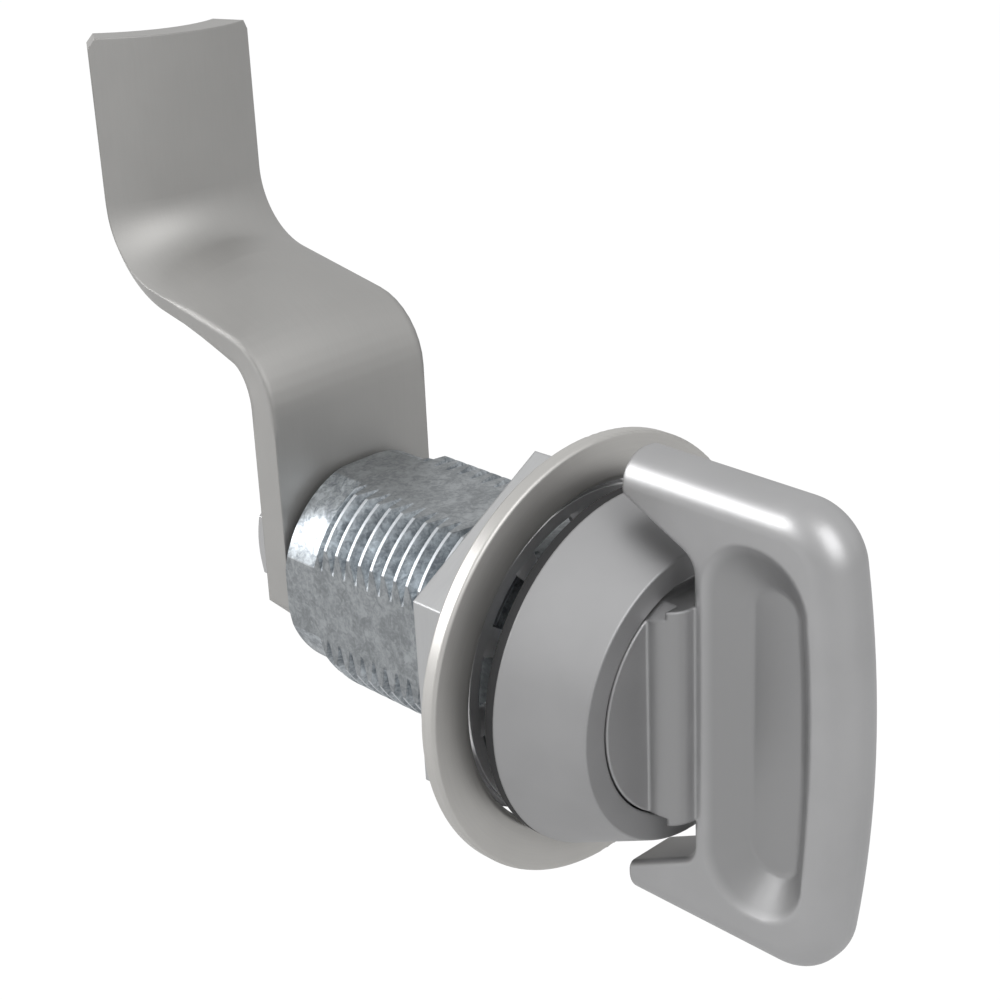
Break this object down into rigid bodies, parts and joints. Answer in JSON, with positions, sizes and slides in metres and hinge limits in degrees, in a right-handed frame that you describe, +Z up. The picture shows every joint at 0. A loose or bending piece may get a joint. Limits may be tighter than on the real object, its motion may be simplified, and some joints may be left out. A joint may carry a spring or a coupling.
{
  "type": "compression latch",
  "caption": "Quarter-turn compression latch: a wing grip in a round head works a bent, crowned pawl at the rear of a threaded housing held by a large nut.",
  "frame": {"origin": "on the latch axis, in the plane of the head's rear face that sits on the gasket", "axes": "+Y along the latch axis from the grip to the pawl, +Z up, the way the pawl points when latched"},
  "size_m": [0.0382, 0.0817, 0.0663],
  "materials": {
    "grip_metal": "smooth die casting, satin bright plated",
    "head_metal": "satin plated die casting",
    "zinc_housing": "die-cast zinc alloy with a mottled blue-grey zinc coat",
    "black_rubber": "matt black rubber",
    "nickel_ring": "pressed steel, satin nickel plated",
    "zinc_nut": "light zinc plate",
    "washer_steel": "bright zinc plate",
    "arm_steel": "pressed steel, warm satin plate",
    "screw_steel": "bright zinc plate",
    "shaft_steel": "turned steel, lightly greased",
    "spring_steel": "dark spring steel",
    "bush_bronze": "plain bearing bronze"
  },
  "bodies": {
    "housing": {"head_bezel": "head_metal", "threaded_body": "zinc_housing", "gasket": "black_rubber", "flange_ring": "nickel_ring", "toothed_washer": "washer_steel", "mounting_nut": "zinc_nut", "front_bush": "bush_bronze", "rear_bush": "bush_bronze", "rear_retaining_ring": "spring_steel"},
    "swing_guide": {"swing_sleeve": "shaft_steel"},
    "grip": {"handle": "grip_metal", "cam_sleeve": "shaft_steel", "handle_pin": "shaft_steel", "hub_o_ring": "black_rubber", "sleeve_retaining_ring": "spring_steel", "spring_seat": "spring_steel"},
    "locking_arm": {"shaft": "shaft_steel", "drive_pin": "shaft_steel", "pawl": "arm_steel", "flat_washer": "washer_steel", "split_washer": "washer_steel", "pawl_screw": "screw_steel", "return_spring": "spring_steel"}
  },
  "joints": [
    {"name": "pawl_swing", "type": "hinge", "parent": "housing", "child": "swing_guide", "pos_m": [0, 0, 0], "axis": [0, -1, 0], "range_deg": [0, 90]},
    {"name": "handle_cinch", "type": "hinge", "parent": "swing_guide", "child": "grip", "pos_m": [0, 0, 0], "axis": [0, -1, 0], "range_deg": [0, 90]},
    {"name": "pull_up", "type": "slide", "parent": "swing_guide", "child": "locking_arm", "axis": [0, 1, 0], "range_m": [0, 0.006], "deforming": ["return_spring"]}
  ],
  "couplings": [
    {"joint": "handle_cinch", "follows": "pull_up", "rad_per_m": 261.8}
  ]
}
